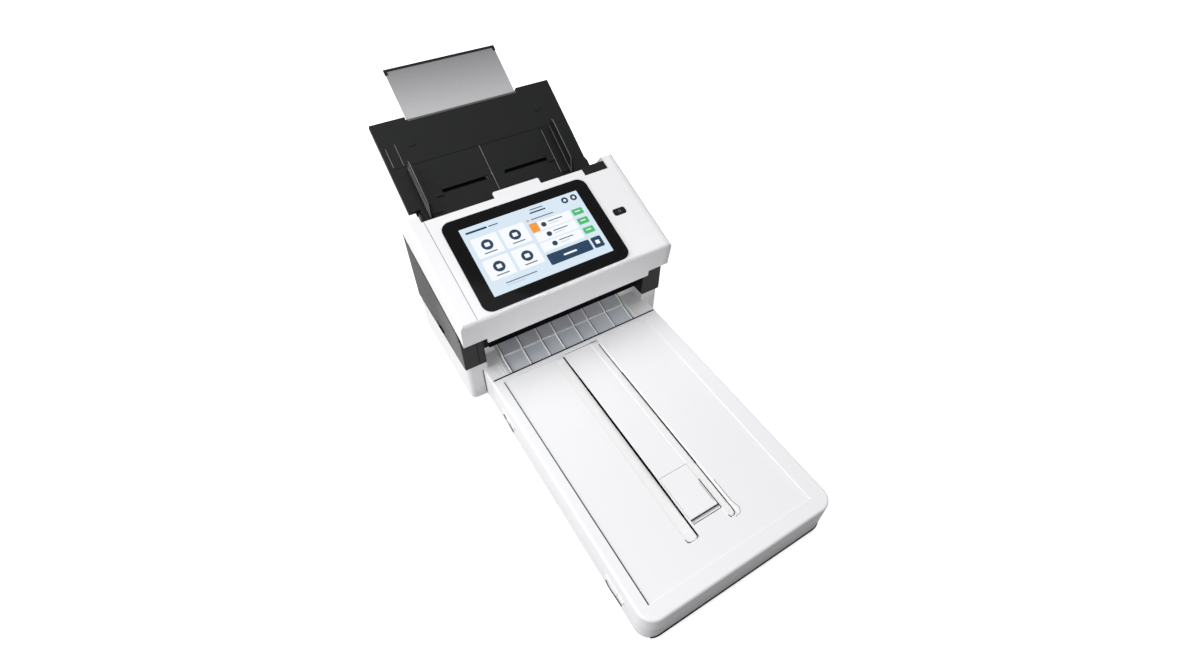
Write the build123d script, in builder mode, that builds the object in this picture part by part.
"""Sheet-fed document scanner with a touch screen cover, docked to a flatbed scanner.

The flatbed's lid is also the output tray.

Millimetres, +Z up. The front edge of the flatbed faces -Y, and X = 0 is the body's middle plane.
The origin is the middle of the whole machine's footprint, on the desk.
"""

import os
from math import cos, hypot, pi, radians, sin, tan

from build123d import *

os.makedirs("parts", exist_ok=True)

# Overall sizes of the two units
BODY_WIDTH = 316.0
BODY_FRONT = 27.0
BODY_REAR = 200.0
DOCK_SIDE_INSET = 1.0
DOCK_REAR_REACH = 3.0
DOCK_TOP = 67.0
FLATBED_WIDTH = 269.0
LID_LENGTH = 366.0
RIM_HEIGHT = 55.0
FRONT_CORNER = 20.0

# The swinging cover and its screen
FOLD_BEHIND = 9.0
FOLD_HEIGHT = 165.6
COVER_TILT = 19.76
COVER_LENGTH = 158.0
SHOULDER_REACH = 11.0
SHOULDER_WIDTH = 19.0
FACE_FOOT_BEHIND = 14.0
FACE_FOOT_HEIGHT = 117.0
FACE_END_HEIGHT = 126.5
APRON_INSET = 33.0
SIDE_REAR_HEIGHT = 179.0
SIDE_SLOPE = 14.3
COVER_WALL = 2.5
BEZEL_LEFT_MARGIN = 36.5
BEZEL_RIGHT_MARGIN = 64.5
BEZEL_FRONT_MARGIN = 5.4
BEZEL_REAR_MARGIN = 13.0
BEZEL_CORNER = 13.0
BEZEL_THICKNESS = 3.0
BEZEL_PROUD = 1.5
PANEL_SIDE_MARGIN = 12.5
PANEL_END_MARGIN = 10.8
PANEL_THICKNESS = 6.0
TAB_WIDTH = 70.0
TAB_REACH = 10.0
NOTCH_INSET = 57.5
NOTCH_DEPTH = 11.0
BUTTON_INSET = 42.5
BUTTON_WIDTH = 19.0
BUTTON_LENGTH = 10.5
BUTTON_CORNER = 3.5
HINGE_BEHIND = 37.0
HINGE_HEIGHT = 126.0
HINGE_PIN_RADIUS = 3.0

# The paper path and its rollers
PATH_TILT = 33.6
MOUTH_GAP = 15.0
PATH_LENGTH = 146.0
WALL_INSET = 24.5
GUIDE_THICKNESS = 2.0
PATH_GAP = 2.0
ROLLER_RADIUS = 10.0
ROLLER_PROUD = 0.9
SHAFT_RADIUS = 3.0
PINCH_RADIUS = 6.0
PINCH_SHAFT_RADIUS = 2.0
SEPARATION_RADIUS = 6.0
PULLEY_RADIUS = 6.0
BELT_THICKNESS = 1.3
BELT_WIDTH = 5.0
FEED_DOWN = 30.0
TRANSPORT_DOWN = 62.0
EXIT_DOWN = 134.0
LOWER_SCAN_DOWN = 87.0
UPPER_SCAN_DOWN = 106.0
SCAN_BAR_MARGIN = 5.0
SCAN_BAR_WIDTH = 18.0
SCAN_BAR_DEPTH = 15.0
SCAN_WINDOW_MARGIN = 5.0
SCAN_WINDOW_WIDTH = 11.0
TYRE_WIDTH = 16.0
TYRE_OFFSETS = (-85.0, -40.0, 40.0, 85.0)
FEED_TYRE_WIDTH = 20.0
FEED_TYRE_OFFSETS = (-15.0, 15.0)

# The input tray, its guides and its extension
TRAY_NECK_INSET = 3.8
TRAY_NECK_STEP = 16.3
TRAY_START = 3.0
TRAY_MARGIN_START = 22.0
TRAY_SEAM = 84.0
TRAY_END = 151.0
TRAY_DEPTH = 8.0
TRAY_SKIN = 2.5
TRAY_PIVOT_UP = 12.0
TRAY_PIVOT_DEPTH = 9.0
TRAY_PIN_RADIUS = 3.0
TRAY_NOTCH_MARGIN = 1.8
TRAY_NOTCH_DEPTH = 4.6
EXTENSION_INSET = 52.2
EXTENSION_START = 129.0
EXTENSION_END = 224.0
EXTENSION_THICKNESS = 1.8
EXTENSION_DEPTH = 3.2
CAP_WALL = 0.8
CAP_BAND = 3.2
CAP_LEG = 8.0
CAP_LEG_WIDTH = 3.2
GUIDE_INSET = 14.5
GUIDE_HEIGHT = 20.0
GUIDE_START = 6.0
GUIDE_END = 83.0
SLOT_UP = 37.0
PINION_TEETH = 14
GEAR_MODULE = 2.0
GEAR_THICKNESS = 2.6
GEAR_DEPTH = 3.2
PRESSURE_ANGLE = 20.0
BACKLASH = 0.7

# The flatbed
FOOT_HEIGHT = 3.0
FOOT_RADIUS = 8.0
SHELL_WALL = 3.0
BASE_TOP = 25.0
LID_BOTTOM = 25.8
LID_SKIN = 3.0
GLASS_LEFT_MARGIN = 18.0
GLASS_RIGHT_MARGIN = 27.0
GLASS_FRONT_MARGIN = 23.0
GLASS_REAR_MARGIN = 37.0
GLASS_THICKNESS = 3.0
GLASS_LEDGE = 4.0
MAT_GAP = 0.6
MAT_THICKNESS = 3.8
RECESS_LEFT_MARGIN = 14.2
RECESS_RIGHT_MARGIN = 23.5
RECESS_REAR_MARGIN = 7.0
RECESS_FRONT_MARGIN = 19.0
RECESS_DEPTH = 1.2
SLIT_WIDTH = 0.8
SLIT_DEPTH = 1.0
GROOVE_REAR_MARGIN = 6.0
GROOVE_FRONT_MARGIN = 50.0
GROOVE_DEPTH = 4.8
LEFT_GROOVE = (-44.5, -28.5, -27.0)
RIGHT_GROOVE = (16.0, 27.5, 29.0)
FLAP_LEFT = -25.0
FLAP_RIGHT = 15.0
FLAP_FRONT_MARGIN = 71.0
FLAP_LENGTH = 61.0
FLAP_FINGER_GAP = 6.0
FLAP_THICKNESS = 2.6
FLAP_PIN_RADIUS = 1.0
LID_HINGE_INSET = 1.5
LID_HINGE_HEIGHT = 27.8
LID_HINGE_REAR_MARGIN = 46.0
LID_HINGE_FRONT_MARGIN = 59.0
KNUCKLE_RADIUS = 2.8
KNUCKLE_PIN_RADIUS = 1.2
KNUCKLE_LENGTH = 12.0
CARRIAGE_HOME = -25.0
CARRIAGE_WIDTH = 24.0
ROD_INSET = 24.5
ROD_HEIGHT = 13.0
ROD_RADIUS = 3.0
CARRIAGE_BELT_INSET = 11.5
CARRIAGE_PULLEY_RADIUS = 4.5
CARRIAGE_BELT_WIDTH = 5.0

# The exit ramp
RAMP_LEFT_MARGIN = 28.5
RAMP_RIGHT_MARGIN = 37.5
RAMP_STEP = 30.0
RAMP_REAR = 50.0
RIB_OFFSETS = (15.0, 38.5, 68.5)
END_RIB_INSET = 3.0
RIB_WIDTH = 1.6
RIB_HEIGHT = 2.6

# Clearances
SEAM_GAP = 0.8
PART_GAP = 0.4
RUNNING_GAP = 0.05
SOFT_GAP = 0.3

# Directions and derived places
path_up = (cos(radians(PATH_TILT)), sin(radians(PATH_TILT)))
path_normal = (-path_up[1], path_up[0])
cover_up = (cos(radians(COVER_TILT)), sin(radians(COVER_TILT)))
cover_normal = (-cover_up[1], cover_up[0])

# Widths and places that follow from the overall sizes and the margins
half_body = BODY_WIDTH / 2
half_flatbed = FLATBED_WIDTH / 2
DOCK_WIDTH = BODY_WIDTH - 2 * DOCK_SIDE_INSET
DOCK_REAR = BODY_REAR + DOCK_REAR_REACH
SHOULDER_LENGTH = COVER_LENGTH + SHOULDER_REACH
APRON_WIDTH = BODY_WIDTH - 2 * APRON_INSET
BEZEL_WIDTH = BODY_WIDTH - BEZEL_LEFT_MARGIN - BEZEL_RIGHT_MARGIN
BEZEL_LENGTH = COVER_LENGTH - BEZEL_FRONT_MARGIN - BEZEL_REAR_MARGIN
SCREEN_X = (BEZEL_LEFT_MARGIN - BEZEL_RIGHT_MARGIN) / 2
SCREEN_ALONG = BEZEL_FRONT_MARGIN + BEZEL_LENGTH / 2
PANEL_WIDTH = BEZEL_WIDTH - 2 * PANEL_SIDE_MARGIN
PANEL_LENGTH = BEZEL_LENGTH - 2 * PANEL_END_MARGIN
NOTCH_START = half_body - NOTCH_INSET
BUTTON_X = half_body - BUTTON_INSET
BUTTON_ALONG = SCREEN_ALONG
PAPER_X = SCREEN_X
PATH_HALF_WIDTH = half_body - WALL_INSET
SCAN_BAR_LENGTH = 2 * (PATH_HALF_WIDTH + PAPER_X - SCAN_BAR_MARGIN)
SCAN_WINDOW_LENGTH = SCAN_BAR_LENGTH - 2 * SCAN_WINDOW_MARGIN
TRAY_WIDTH = 2 * PATH_HALF_WIDTH
TRAY_NECK_LEFT = -PATH_HALF_WIDTH + TRAY_NECK_INSET
EXTENSION_WIDTH = TRAY_WIDTH - 2 * EXTENSION_INSET
NOTCH_LEVEL = TRAY_END - TRAY_NOTCH_DEPTH
GUIDE_HALF_SPAN = PATH_HALF_WIDTH + PAPER_X - GUIDE_INSET
GLASS_X = (GLASS_LEFT_MARGIN - GLASS_RIGHT_MARGIN) / 2
GLASS_WIDTH = FLATBED_WIDTH - GLASS_LEFT_MARGIN - GLASS_RIGHT_MARGIN
GLASS_LENGTH = LID_LENGTH - GLASS_FRONT_MARGIN - GLASS_REAR_MARGIN
RECESS_LEFT = -half_flatbed + RECESS_LEFT_MARGIN
RECESS_RIGHT = half_flatbed - RECESS_RIGHT_MARGIN
RECESS_FRONT = RECESS_FRONT_MARGIN - LID_LENGTH
GROOVE_FRONT = GROOVE_FRONT_MARGIN - LID_LENGTH
FLAP_FRONT = FLAP_FRONT_MARGIN - LID_LENGTH
FLAP_REAR = FLAP_FRONT + FLAP_LENGTH
LID_HINGE_X = -half_flatbed + LID_HINGE_INSET
LID_HINGE_PLACES = (-LID_HINGE_REAR_MARGIN, LID_HINGE_FRONT_MARGIN - LID_LENGTH)
ROD_X = half_flatbed - ROD_INSET
CARRIAGE_BELT_X = half_flatbed - CARRIAGE_BELT_INSET
RAMP_LEFT = -half_flatbed + RAMP_LEFT_MARGIN
RAMP_RIGHT = half_flatbed - RAMP_RIGHT_MARGIN

cover_end_behind = FOLD_BEHIND + COVER_LENGTH * cover_up[0]
cover_end_height = FOLD_HEIGHT + COVER_LENGTH * cover_up[1]
path_behind = cover_end_behind - MOUTH_GAP * path_normal[0]
path_height = cover_end_height - MOUTH_GAP * path_normal[1]
extension_floor = -(EXTENSION_DEPTH + EXTENSION_THICKNESS)
rear_reach = path_behind + EXTENSION_END * path_up[0] + extension_floor * path_normal[0]

# The lid's rear edge lies this far behind the middle of the footprint
seam_y = (LID_LENGTH - rear_reach) / 2


def behind(distance):
    """The y of a place that lies this far behind the lid's rear edge."""
    return seam_y + distance


def path_point(up, out):
    """The (y, z) of a point up the paper path from its mouth, and out of its surface."""
    return (
        behind(path_behind) + up * path_up[0] + out * path_normal[0],
        path_height + up * path_up[1] + out * path_normal[1],
    )


def cover_point(along, out):
    """The (y, z) of a point up the cover's top from its fold, and out of its surface."""
    return (
        behind(FOLD_BEHIND) + along * cover_up[0] + out * cover_normal[0],
        FOLD_HEIGHT + along * cover_up[1] + out * cover_normal[1],
    )


def face_y(height):
    """The y of the cover's front face at a height."""
    share = (FOLD_HEIGHT - height) / (FOLD_HEIGHT - FACE_FOOT_HEIGHT)
    return behind(FOLD_BEHIND + share * (FACE_FOOT_BEHIND - FOLD_BEHIND))


def side_height(distance):
    """The height of the cover side's lower edge, this far behind the lid's rear edge."""
    return SIDE_REAR_HEIGHT - (BODY_REAR - distance) * tan(radians(SIDE_SLOPE))


path = Plane(
    origin=(0, behind(path_behind), path_height),
    x_dir=(1, 0, 0),
    z_dir=(0, path_normal[0], path_normal[1]),
)
cover_top = Plane(
    origin=(0, behind(FOLD_BEHIND), FOLD_HEIGHT),
    x_dir=(1, 0, 0),
    z_dir=(0, cover_normal[0], cover_normal[1]),
)


def block(x_low, x_high, y_low, y_high, z_low, z_high, mode=Mode.ADD):
    """A box between two corners, on the part's own workplane."""
    middle = ((x_low + x_high) / 2, (y_low + y_high) / 2, (z_low + z_high) / 2)
    with Locations(middle):
        Box(x_high - x_low, y_high - y_low, z_high - z_low, mode=mode)


def outline(points, x_low, x_high, mode=Mode.ADD):
    """A closed outline of (y, z) points, drawn out along X between two places."""
    with BuildSketch(Plane.YZ.offset(x_low)) as profile:
        with BuildLine():
            Polyline(*points, close=True)
        make_face()
    extrude(to_extrude=profile.sketch, amount=x_high - x_low, mode=mode)


def rod_x(centre, radius, x_low, x_high, mode=Mode.ADD):
    """A round bar along X about a (y, z) centre."""
    with BuildSketch(Plane.YZ.offset(x_low)) as profile:
        with Locations(centre):
            Circle(radius)
    extrude(to_extrude=profile.sketch, amount=x_high - x_low, mode=mode)


def rod_y(centre, radius, y_low, y_high, mode=Mode.ADD):
    """A round bar along Y about an (x, z) centre."""
    with BuildSketch(Plane.XZ.offset(-y_low)) as profile:
        with Locations(centre):
            Circle(radius)
    extrude(to_extrude=profile.sketch, amount=y_low - y_high, mode=mode)


def post(centre, radius, z_low, z_high, mode=Mode.ADD):
    """An upright round bar about an (x, y) centre."""
    with BuildSketch(Plane.XY.offset(z_low)) as profile:
        with Locations(centre):
            Circle(radius)
    extrude(to_extrude=profile.sketch, amount=z_high - z_low, mode=mode)


def rounded_slab(plane, centre, width, length, corner, thickness, mode=Mode.ADD):
    """A plate with round corners, standing on a plane."""
    with BuildSketch(plane) as profile:
        with Locations(centre):
            RectangleRounded(width, length, corner)
    extrude(to_extrude=profile.sketch, amount=thickness, mode=mode)


def flatbed_slab(inset, z_low, z_high, rear, mode=Mode.ADD):
    """A plate in the flatbed's outline, with its two front corners rounded."""
    left = -half_flatbed + inset
    right = half_flatbed - inset
    front = behind(-LID_LENGTH) + inset
    with BuildSketch(Plane.XY.offset(z_low)) as profile:
        with BuildLine():
            Polyline((left, front), (right, front), (right, rear), (left, rear), close=True)
        make_face()
        fillet(profile.vertices().group_by(Axis.Y)[0], radius=FRONT_CORNER - inset)
    extrude(to_extrude=profile.sketch, amount=z_high - z_low, mode=mode)


def save(piece, name):
    """Label a finished piece and write it."""
    piece.part.label = name
    export_step(piece.part, f"parts/{name}.step")


# The dock: a white base under the feeder unit, with a pocket for the exit ramp
recess_half = half_body - 30.5
dock_half = DOCK_WIDTH / 2
dock_front = behind(BODY_FRONT)
dock_rear = behind(DOCK_REAR)
ramp_floor = RIM_HEIGHT
ramp_end = behind(RAMP_REAR)
dock_corner = 8.0
with BuildPart() as dock_base:
    block(-dock_half, dock_half, dock_front, dock_rear, FOOT_HEIGHT, DOCK_TOP)
    fillet(dock_base.edges().filter_by(Axis.Z), radius=dock_corner)
    block(
        -dock_half + SHELL_WALL, dock_half - SHELL_WALL, dock_front + SHELL_WALL,
        dock_rear - SHELL_WALL, FOOT_HEIGHT, ramp_floor - SHELL_WALL, mode=Mode.SUBTRACT,
    )
    block(
        -recess_half, recess_half, dock_front, ramp_end + SEAM_GAP, ramp_floor, DOCK_TOP,
        mode=Mode.SUBTRACT,
    )
    block(
        -dock_half + SHELL_WALL, dock_half - SHELL_WALL, ramp_end + 2 * SHELL_WALL,
        dock_rear - SHELL_WALL, FOOT_HEIGHT, DOCK_TOP - SHELL_WALL, mode=Mode.SUBTRACT,
    )
save(dock_base, "dock_base")

# A steel plate closes the dock from below
plate_thickness = 1.5
with BuildPart() as dock_plate:
    block(
        -dock_half + SHELL_WALL, dock_half - SHELL_WALL, dock_front + SHELL_WALL,
        dock_rear - SHELL_WALL, FOOT_HEIGHT, FOOT_HEIGHT + plate_thickness,
    )
    fillet(dock_plate.edges().filter_by(Axis.Z), radius=dock_corner - SHELL_WALL)
save(dock_plate, "dock_plate")

# Rubber feet under both units, and the screws that hold them
dock_foot_inset = 22.0
flatbed_foot_inset = 28.0
flatbed_foot_front = 34.0
flatbed_foot_rear = 20.0
foot_places = [
    (side * (dock_half - dock_foot_inset), y)
    for side in (-1, 1)
    for y in (dock_front + dock_foot_inset, dock_rear - dock_foot_inset)
]
foot_places += [
    (side * (half_flatbed - flatbed_foot_inset), y)
    for side in (-1, 1)
    for y in (behind(flatbed_foot_front - LID_LENGTH), behind(-flatbed_foot_rear))
]
screw_head = 3.0
screw_head_height = 1.0
screw_shank = 1.5
screw_seat = FOOT_HEIGHT / 2
with BuildPart() as feet:
    for place in foot_places:
        post(place, FOOT_RADIUS, 0, FOOT_HEIGHT)
        post(place, screw_head + RUNNING_GAP, 0, screw_seat, mode=Mode.SUBTRACT)
        post(place, screw_shank + RUNNING_GAP, 0, FOOT_HEIGHT, mode=Mode.SUBTRACT)
save(feet, "rubber_feet")

with BuildPart() as foot_screws:
    for place in foot_places:
        post(place, screw_head, screw_seat - screw_head_height, screw_seat)
        post(place, screw_shank, screw_seat - screw_head_height, FOOT_HEIGHT)
save(foot_screws, "foot_screws")

# Dark side panels, each wrapping round to a front column beside the exit
panel_inner = half_body - COVER_WALL
panel_top_rear = SIDE_REAR_HEIGHT - SEAM_GAP
column_drop = 1.5
column_top = FACE_END_HEIGHT - SEAM_GAP - column_drop
corner_cut = BODY_FRONT + 5.5
panel_points = [
    (behind(BODY_FRONT), DOCK_TOP),
    (behind(BODY_REAR), DOCK_TOP),
    (behind(BODY_REAR), panel_top_rear),
    (behind(corner_cut), side_height(corner_cut) - SEAM_GAP),
    (behind(BODY_FRONT), column_top),
]
lever_slot = (95.0, 124.0)
lever_slot_bottom = DOCK_TOP + 6.0
lever_slot_top = DOCK_TOP + 12.0
with BuildPart() as side_panel_right:
    outline(panel_points, panel_inner, half_body)
    block(
        recess_half, half_body, behind(BODY_FRONT), behind(BODY_FRONT + COVER_WALL),
        DOCK_TOP, column_top,
    )
save(side_panel_right, "side_panel_right")

with BuildPart() as side_panel_left:
    outline(panel_points, -half_body, -panel_inner)
    block(
        -half_body, -recess_half, behind(BODY_FRONT), behind(BODY_FRONT + COVER_WALL),
        DOCK_TOP, column_top,
    )
    block(
        -half_body, -panel_inner, behind(lever_slot[0]), behind(lever_slot[1]),
        lever_slot_bottom, lever_slot_top, mode=Mode.SUBTRACT,
    )
save(side_panel_left, "side_panel_left")

# The dock release lever slides in the left panel's slot
lever_travel = 8.0
lever_end_gap = 1.0
lever_plate = 2.0
lever_plate_reach = 4.0
with BuildPart() as release_lever:
    block(
        -half_body + PART_GAP, -panel_inner + SOFT_GAP, behind(lever_slot[0] + lever_end_gap),
        behind(lever_slot[1] - lever_travel - lever_end_gap), lever_slot_bottom + PART_GAP,
        lever_slot_top - PART_GAP,
    )
    block(
        -panel_inner + SOFT_GAP, -panel_inner + SOFT_GAP + lever_plate,
        behind(lever_slot[0] - lever_plate_reach), behind(lever_slot[1] + lever_plate),
        lever_slot_bottom - lever_plate, lever_slot_top + lever_plate,
    )
save(release_lever, "release_lever")

# The chassis: floor, exit recess, hinge ears and the two walls that carry the rollers
wall_thickness = 4.0
column_gap = 0.5
wall_outer = PATH_HALF_WIDTH + wall_thickness
ear_inner = wall_outer + 1.5
ear_outer = half_body - 7.4
floor_thickness = 3.0
floor_top = DOCK_TOP + floor_thickness
frame_front = behind(BODY_FRONT + COVER_WALL) + column_gap
bulkhead_y = behind(RAMP_REAR)
hinge_centre = (behind(HINGE_BEHIND), HINGE_HEIGHT)
roller_depth = ROLLER_RADIUS - ROLLER_PROUD
feed_centre = path_point(-FEED_DOWN, -roller_depth)
transport_centre = path_point(-TRANSPORT_DOWN, -roller_depth)
exit_centre = path_point(-EXIT_DOWN, -roller_depth)
motor_ahead = 19.4
motor_below = 19.8
motor_centre = (transport_centre[0] - motor_ahead, exit_centre[1] - motor_below)
wall_front = behind(BODY_FRONT + 19)
wall_rear = behind(BODY_REAR - 12)
recess_ceiling = DOCK_TOP + 47.0
recess_top = recess_ceiling - 18.0
recess_roof = 2.0
wall_rear_drop = 14.0
tray_room = (16.0, 24.0)
mouth_room = (2.0, 12.0)
wall_drop = 1.0
wall_past_exit = 6.0
ear_below = 14.0
ear_above = 7.0
wall_points = [
    (wall_front, floor_top),
    (wall_rear, floor_top),
    (wall_rear, SIDE_REAR_HEIGHT - wall_rear_drop),
    path_point(tray_room[0], -tray_room[1]),
    path_point(mouth_room[0], -mouth_room[1]),
    path_point(0, -wall_drop),
    path_point(-EXIT_DOWN - wall_past_exit, -wall_drop),
    (wall_front, recess_ceiling + recess_roof),
]
with BuildPart() as chassis:
    block(
        -panel_inner, panel_inner, bulkhead_y + SEAM_GAP, behind(BODY_REAR - 3), DOCK_TOP,
        floor_top,
    )
    for side in (-1, 1):
        inner, outer = sorted((side * PATH_HALF_WIDTH, side * wall_outer))
        outline(wall_points, inner, outer)
        inner, outer = sorted((side * recess_half, side * ear_outer))
        block(inner, outer, frame_front, bulkhead_y + SHELL_WALL, DOCK_TOP, recess_ceiling)
        inner, outer = sorted((side * ear_inner, side * ear_outer))
        block(
            inner, outer, frame_front, wall_front + recess_roof, recess_ceiling - ear_below,
            HINGE_HEIGHT + ear_above,
        )
        inner, outer = sorted((side * (recess_half + SHELL_WALL), side * (ear_outer - SHELL_WALL)))
        block(
            inner, outer, frame_front + SHELL_WALL, bulkhead_y, floor_top, recess_top,
            mode=Mode.SUBTRACT,
        )
        inner, outer = sorted((side * ear_inner, side * ear_outer))
        rod_x(hinge_centre, HINGE_PIN_RADIUS, inner, outer, mode=Mode.SUBTRACT)
    block(
        -recess_half - 1, recess_half + 1, bulkhead_y + SEAM_GAP, bulkhead_y + SHELL_WALL,
        DOCK_TOP, recess_ceiling - recess_roof,
    )
    for centre in (feed_centre, transport_centre, exit_centre):
        rod_x(
            centre, SHAFT_RADIUS + RUNNING_GAP, -half_body, half_body, mode=Mode.SUBTRACT,
        )
    rod_x(motor_centre, SHAFT_RADIUS + RUNNING_GAP, 0, half_body, mode=Mode.SUBTRACT)
save(chassis, "chassis")

# The rear cover, with vent slots and holes for the sockets
socket_floor = floor_top + 7.6
sockets = {
    "power": (PATH_HALF_WIDTH - 37.5, 12.0, 11.0),
    "usb": (PATH_HALF_WIDTH - 75.5, 13.0, 11.5),
    "lan": (PATH_HALF_WIDTH - 109.5, 16.5, 14.0),
}
vent_count = 9
vent_pitch = 12.0
vent_width = 6.0
vent_start = -PATH_HALF_WIDTH + 33.5
vent_bottom = DOCK_TOP + 43.0
vent_top = SIDE_REAR_HEIGHT - 29.0
rear_lid_top = SIDE_REAR_HEIGHT - 3.0
with BuildPart() as rear_cover:
    block(
        -panel_inner, panel_inner, behind(BODY_REAR) - COVER_WALL, behind(BODY_REAR),
        DOCK_TOP, rear_lid_top,
    )
    block(
        -PATH_HALF_WIDTH + 1, PATH_HALF_WIDTH - 1, wall_rear + 1, behind(BODY_REAR),
        rear_lid_top - COVER_WALL, rear_lid_top,
    )
    for x_middle, width, height in sockets.values():
        block(
            x_middle - width / 2 - PART_GAP, x_middle + width / 2 + PART_GAP,
            behind(BODY_REAR) - COVER_WALL, behind(BODY_REAR), socket_floor - PART_GAP,
            socket_floor + height + PART_GAP, mode=Mode.SUBTRACT,
        )
    for row in range(vent_count):
        vent_x = vent_start + vent_pitch * row
        block(
            vent_x - vent_width / 2, vent_x + vent_width / 2, behind(BODY_REAR) - COVER_WALL,
            behind(BODY_REAR), vent_bottom, vent_top, mode=Mode.SUBTRACT,
        )
save(rear_cover, "rear_cover")

# The main board on its standoffs, and the sockets along its rear edge
socket_set_back = 0.5
board_rear = behind(BODY_REAR) - COVER_WALL - socket_set_back
board_front = board_rear - 105.0
board_half = PATH_HALF_WIDTH - 22.5
board_thickness = 1.6
standoff_radius = 3.0
standoff_inset = 10.0
with BuildPart() as main_board:
    block(
        -board_half, board_half, board_front, board_rear, socket_floor - board_thickness,
        socket_floor,
    )
    for x in (-board_half + standoff_inset, 0, board_half - 3 * standoff_inset):
        for y in (board_front + standoff_inset, board_rear - standoff_inset):
            post((x, y), standoff_radius, floor_top, socket_floor)
save(main_board, "main_board")

power_socket_depth = 16.0
jack_radius = 3.1
jack_depth = 12.0
jack_pin_radius = 1.05
jack_pin_start = 3.0
jack_pin_end = 13.0
with BuildPart() as power_socket:
    x_middle, width, height = sockets["power"]
    jack_centre = (x_middle, socket_floor + height / 2)
    block(
        x_middle - width / 2, x_middle + width / 2, behind(BODY_REAR) - power_socket_depth,
        behind(BODY_REAR) - socket_set_back, socket_floor, socket_floor + height,
    )
    rod_y(
        jack_centre, jack_radius, behind(BODY_REAR) - jack_depth, behind(BODY_REAR),
        mode=Mode.SUBTRACT,
    )
    rod_y(
        jack_centre, jack_pin_radius, behind(BODY_REAR) - jack_pin_end,
        behind(BODY_REAR) - jack_pin_start,
    )
save(power_socket, "power_socket")

data_socket_depth = 17.0
data_socket_wall = 1.5
data_socket_hole = 14.0
with BuildPart() as data_sockets:
    for name in ("usb", "lan"):
        x_middle, width, height = sockets[name]
        block(
            x_middle - width / 2, x_middle + width / 2, behind(BODY_REAR) - data_socket_depth,
            behind(BODY_REAR) - socket_set_back, socket_floor, socket_floor + height,
        )
        block(
            x_middle - width / 2 + data_socket_wall, x_middle + width / 2 - data_socket_wall,
            behind(BODY_REAR) - data_socket_hole, behind(BODY_REAR),
            socket_floor + data_socket_wall, socket_floor + height - data_socket_wall,
            mode=Mode.SUBTRACT,
        )
save(data_sockets, "data_sockets")

# Places of the tyres across the paper path
transport_tyres_x = [PAPER_X + offset for offset in TYRE_OFFSETS]
feed_tyres_x = [PAPER_X + offset for offset in FEED_TYRE_OFFSETS]


def window(x_middle, width, down, length, low, high):
    """A window through a guide plate, on the paper path's plane."""
    block(
        x_middle - width / 2, x_middle + width / 2, -down - length / 2, -down + length / 2,
        low, high, mode=Mode.SUBTRACT,
    )


# The lower paper guide, with windows for the rollers and the scan glass
window_margin = 2.0
roller_window = 2 * ROLLER_RADIUS + 1
lower_guide_rear = 1.0
with BuildPart(path) as lower_guide:
    block(
        -PATH_HALF_WIDTH, PATH_HALF_WIDTH, -PATH_LENGTH, -lower_guide_rear, -GUIDE_THICKNESS, 0,
    )
    for x_middle in feed_tyres_x:
        window(
            x_middle, FEED_TYRE_WIDTH + window_margin, FEED_DOWN, roller_window,
            -GUIDE_THICKNESS, 0,
        )
    for x_middle in transport_tyres_x:
        for down in (TRANSPORT_DOWN, EXIT_DOWN):
            window(
                x_middle, TYRE_WIDTH + window_margin, down, roller_window, -GUIDE_THICKNESS, 0,
            )
    window(
        PAPER_X, SCAN_WINDOW_LENGTH, LOWER_SCAN_DOWN, SCAN_WINDOW_WIDTH, -GUIDE_THICKNESS, 0,
    )
save(lower_guide, "lower_guide")

# The upper paper guide, hung from the cover by two side webs
guide_top = PATH_GAP + GUIDE_THICKNESS
web_outer = PATH_HALF_WIDTH - 1.5
web_inner = web_outer - SHELL_WALL
guide_rear = 6.0
web_rear = 14.0
web_overlap = 1.0
web_top_front = 20.0
web_top_rear = 16.0
web_points = [
    path_point(-PATH_LENGTH, PATH_GAP + web_overlap),
    path_point(-web_rear, PATH_GAP + web_overlap),
    cover_point(COVER_LENGTH - web_top_rear, -COVER_WALL),
    cover_point(web_top_front, -COVER_WALL),
]
pinch_out = ROLLER_PROUD + SOFT_GAP + PINCH_RADIUS
separation_out = ROLLER_PROUD + SOFT_GAP + SEPARATION_RADIUS
transport_pinch = path_point(-TRANSPORT_DOWN, pinch_out)
exit_pinch = path_point(-EXIT_DOWN, pinch_out)
separation_centre = path_point(-FEED_DOWN, separation_out)
pinch_window = 2 * PINCH_RADIUS + 1
separation_window = 2 * SEPARATION_RADIUS + 1
separation_width = 44.0
with BuildPart(path) as upper_guide:
    block(-web_outer, web_outer, -PATH_LENGTH, -web_rear, PATH_GAP, guide_top)
    block(-web_outer, NOTCH_START - SEAM_GAP, -web_rear, -guide_rear, PATH_GAP, guide_top)
    for side in (-1, 1):
        inner, outer = sorted((side * web_inner, side * web_outer))
        outline(web_points, inner, outer)
    window(
        PAPER_X, separation_width + window_margin, FEED_DOWN, separation_window, PATH_GAP,
        guide_top,
    )
    for x_middle in transport_tyres_x:
        for down in (TRANSPORT_DOWN, EXIT_DOWN):
            window(x_middle, TYRE_WIDTH + window_margin, down, pinch_window, PATH_GAP, guide_top)
    window(PAPER_X, SCAN_WINDOW_LENGTH, UPPER_SCAN_DOWN, SCAN_WINDOW_WIDTH, PATH_GAP, guide_top)
    for centre in (transport_pinch, exit_pinch, separation_centre):
        rod_x(
            centre, PINCH_SHAFT_RADIUS + RUNNING_GAP, -half_body, half_body, mode=Mode.SUBTRACT,
        )
save(upper_guide, "upper_guide")


def scan_bar(down, near, far):
    """A contact image sensor bar across the path, from its near to its far side."""
    low, high = sorted((near, far))
    half = SCAN_BAR_LENGTH / 2
    half_width = SCAN_BAR_WIDTH / 2
    block(PAPER_X - half, PAPER_X + half, -down - half_width, -down + half_width, low, high)


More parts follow.
